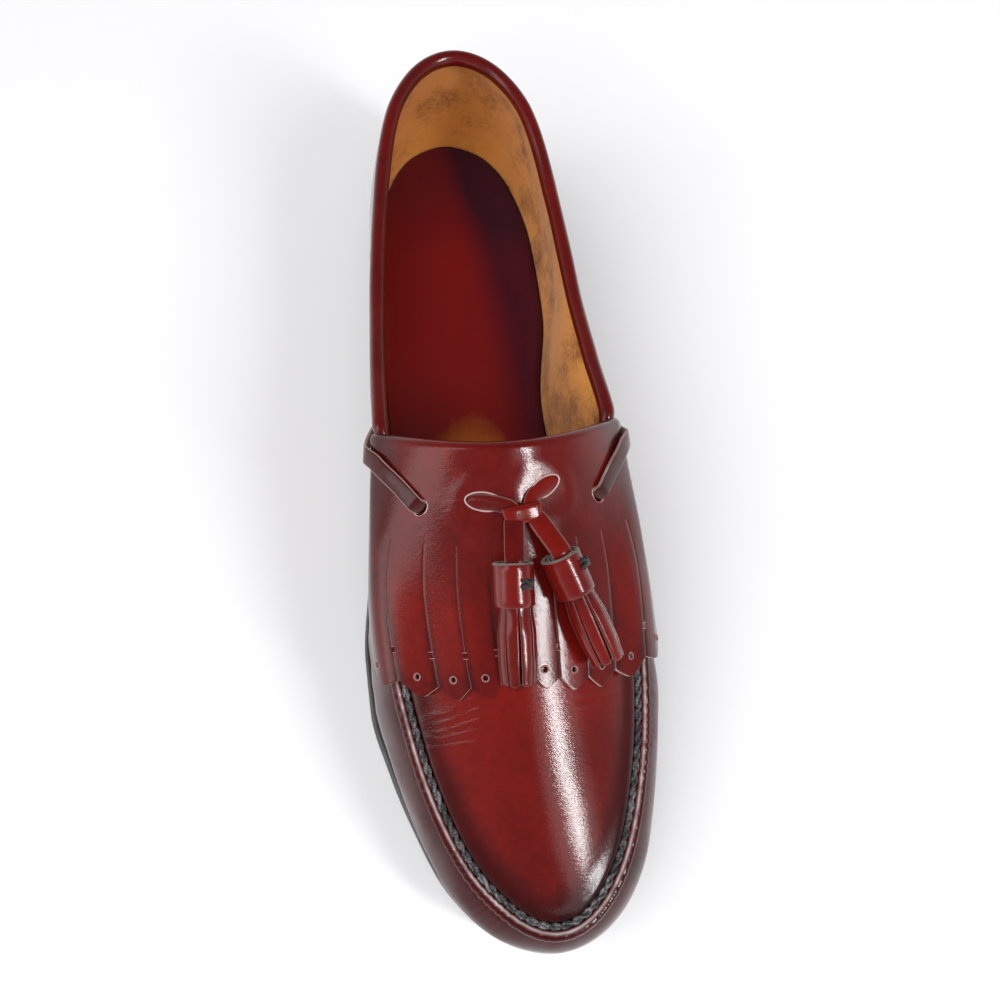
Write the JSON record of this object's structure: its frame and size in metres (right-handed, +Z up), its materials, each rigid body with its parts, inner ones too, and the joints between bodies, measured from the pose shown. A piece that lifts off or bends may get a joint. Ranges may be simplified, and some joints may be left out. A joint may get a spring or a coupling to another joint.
{
  "type": "tassel loafer",
  "caption": "Slip-on loafer with a low stacked heel, an almond toe with a raised moccasin seam, and a fringed kiltie under a knotted lace with tassels.",
  "frame": {"origin": "middle of the heel's flat underside, on the floor", "axes": "+Z up; the toe points along -Y; +X is the inner side of the foot, for a right shoe"},
  "size_m": [0.0997, 0.3154, 0.099],
  "materials": {
    "burgundy_leather": "high gloss, shaded nearly black towards the edges",
    "insole_leather": "glossy, worn to amber at the waist",
    "black_sole_edge": "satin edge dressing",
    "top_lift_rubber": "matte"
  },
  "bodies": {
    "root": {"heel_top_lift": "top_lift_rubber", "heel_stack": "black_sole_edge", "outsole": "black_sole_edge", "welt": "black_sole_edge", "insole": "insole_leather", "upper": "burgundy_leather", "collar_binding": "burgundy_leather", "kiltie": "burgundy_leather", "strap_outer": "burgundy_leather", "strap_inner": "burgundy_leather", "lace_knot": "burgundy_leather", "lace_loop_outer": "burgundy_leather", "lace_loop_inner": "burgundy_leather", "lace_end_outer": "burgundy_leather", "lace_end_inner": "burgundy_leather", "tassel_outer": "burgundy_leather", "tassel_inner": "burgundy_leather"}
  },
  "joints": []
}
